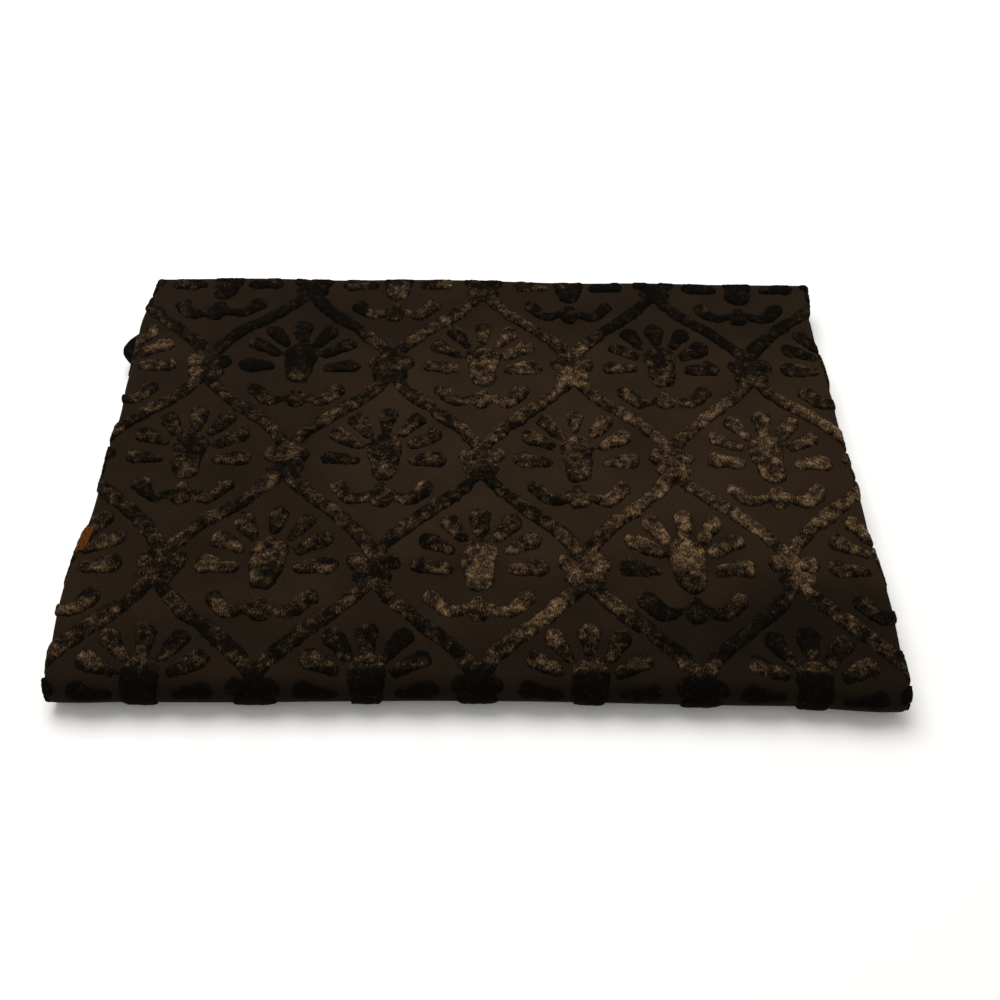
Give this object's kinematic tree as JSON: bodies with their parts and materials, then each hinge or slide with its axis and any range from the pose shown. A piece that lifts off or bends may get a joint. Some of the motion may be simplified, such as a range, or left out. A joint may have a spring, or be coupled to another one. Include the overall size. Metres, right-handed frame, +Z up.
{
  "type": "folded evening stole",
  "caption": "Evening stole of dark brown cut velvet, folded to a flat pad with a round front fold, layered sides and a raised pile in a plain net of palmettes and rosettes.",
  "frame": {"origin": "on the surface it rests on, under the middle of the folded pad's box", "axes": "+X runs from side fold to side fold and is the longest extent, +Y runs from the front fold to the rear edges, +Z is up and the shortest extent"},
  "size_m": [0.518, 0.3514, 0.0275],
  "materials": {
    "velvet_pile": "cut velvet pile, near black to bronze with the lie of the nap",
    "velvet_ground": "smooth dark brown twill ground",
    "velvet_folds": "folded edges of the same dark velvet",
    "amber_satin": "plain amber satin"
  },
  "bodies": {
    "root": {"velvet_top_and_front": "velvet_pile", "velvet_underside": "velvet_ground", "velvet_inner_folds": "velvet_folds", "lining_corner": "amber_satin"}
  },
  "joints": []
}
